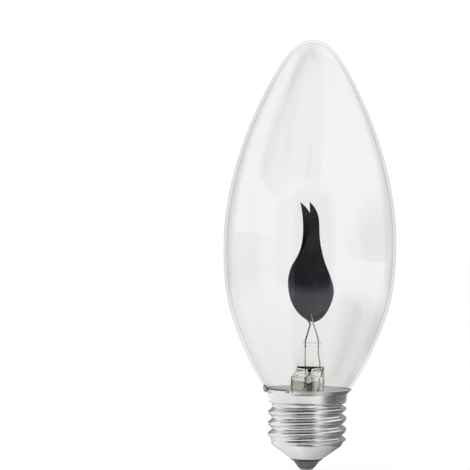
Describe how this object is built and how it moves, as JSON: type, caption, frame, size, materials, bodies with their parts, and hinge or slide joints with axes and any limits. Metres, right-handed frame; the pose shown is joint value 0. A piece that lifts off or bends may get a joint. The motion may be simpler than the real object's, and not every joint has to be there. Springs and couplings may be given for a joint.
{
  "type": "flame effect bulb",
  "caption": "Clear candle shaped neon flicker lamp with two flame shaped metal plates on a glass stem, on a screw cap",
  "frame": {"origin": "bottom of the centre contact, on the lamp's axis, at the lowest point of the tip solder", "axes": "+Z is the lamp's axis, from the centre contact to the glass tip; -Y faces the front flame plate's viewer; +X is that viewer's right"},
  "size_m": [0.0576, 0.0576, 0.1432],
  "materials": {
    "glass_envelope": "clear blown glass",
    "glass_stem": "clear drawn glass",
    "exhaust_tube": "clear drawn glass",
    "front_flame_plate": "dull dark coated sheet",
    "rear_flame_plate": "dull dark coated sheet",
    "front_support_wire": "bright plated wire",
    "rear_support_wire": "dull plated wire",
    "front_seal_wire": "copper clad wire",
    "rear_seal_wire": "copper clad wire",
    "centre_lead_wire": "bare copper wire",
    "lead_splice": "tinned sleeve",
    "resistor_upper_lead": "tinned wire",
    "ballast_resistor": "lacquered ceramic body",
    "resistor_lower_lead": "tinned wire",
    "side_lead_wire": "tinned copper wire",
    "cap_shell": "satin drawn and rolled sheet",
    "cap_insulator": "opaque black glass",
    "contact_eyelet": "dull tinned brass",
    "tip_solder": "dull solder",
    "rim_solder": "dull solder",
    "capping_cement": "baked basing cement"
  },
  "bodies": {
    "root": {"glass_envelope": "glass_envelope", "glass_stem": "glass_stem", "exhaust_tube": "exhaust_tube", "front_flame_plate": "front_flame_plate", "rear_flame_plate": "rear_flame_plate", "front_support_wire": "front_support_wire", "rear_support_wire": "rear_support_wire", "front_seal_wire": "front_seal_wire", "rear_seal_wire": "rear_seal_wire", "centre_lead_wire": "centre_lead_wire", "lead_splice": "lead_splice", "resistor_upper_lead": "resistor_upper_lead", "ballast_resistor": "ballast_resistor", "resistor_lower_lead": "resistor_lower_lead", "side_lead_wire": "side_lead_wire", "cap_shell": "cap_shell", "cap_insulator": "cap_insulator", "contact_eyelet": "contact_eyelet", "tip_solder": "tip_solder", "rim_solder": "rim_solder", "capping_cement": "capping_cement"}
  },
  "joints": []
}
